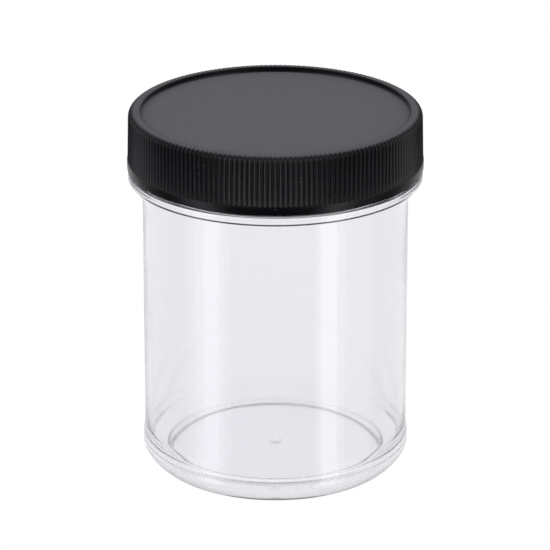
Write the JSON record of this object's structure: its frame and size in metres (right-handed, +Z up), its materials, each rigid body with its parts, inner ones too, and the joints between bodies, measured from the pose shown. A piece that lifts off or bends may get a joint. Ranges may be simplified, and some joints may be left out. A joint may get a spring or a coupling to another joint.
{
  "type": "specimen jar",
  "caption": "Clear straight-sided jar with a threaded neck, a flange and a rounded heel, closed by a ribbed black screw cap with a sealing liner.",
  "frame": {"origin": "middle of the base, at the height of the surface the jar stands on", "axes": "+Z up along the jar's own axis; X and Y are free, and the neck's thread ends at its top on +X"},
  "size_m": [0.073, 0.073, 0.0922],
  "materials": {
    "clear_polystyrene": "clear, polished mould finish",
    "black_polypropylene": "fine-grained, semi-matt",
    "white_foam": "fine-celled foam sheet"
  },
  "bodies": {
    "jar": {"jar_body": "clear_polystyrene"},
    "liner": {"cap_liner": "white_foam"},
    "cap": {"screw_cap": "black_polypropylene"}
  },
  "joints": [
    {"name": "lid_rise", "type": "slide", "parent": "jar", "child": "liner", "axis": [0, 0, 1], "range_m": [0, 0.01165]},
    {"name": "lid_turn", "type": "hinge", "parent": "liner", "child": "cap", "pos_m": [0, 0, 0.085], "axis": [0, 0, 1], "range_deg": [0, 990]}
  ],
  "couplings": [
    {"joint": "lid_rise", "follows": "lid_turn", "m_per_rad": 0.00067376}
  ]
}
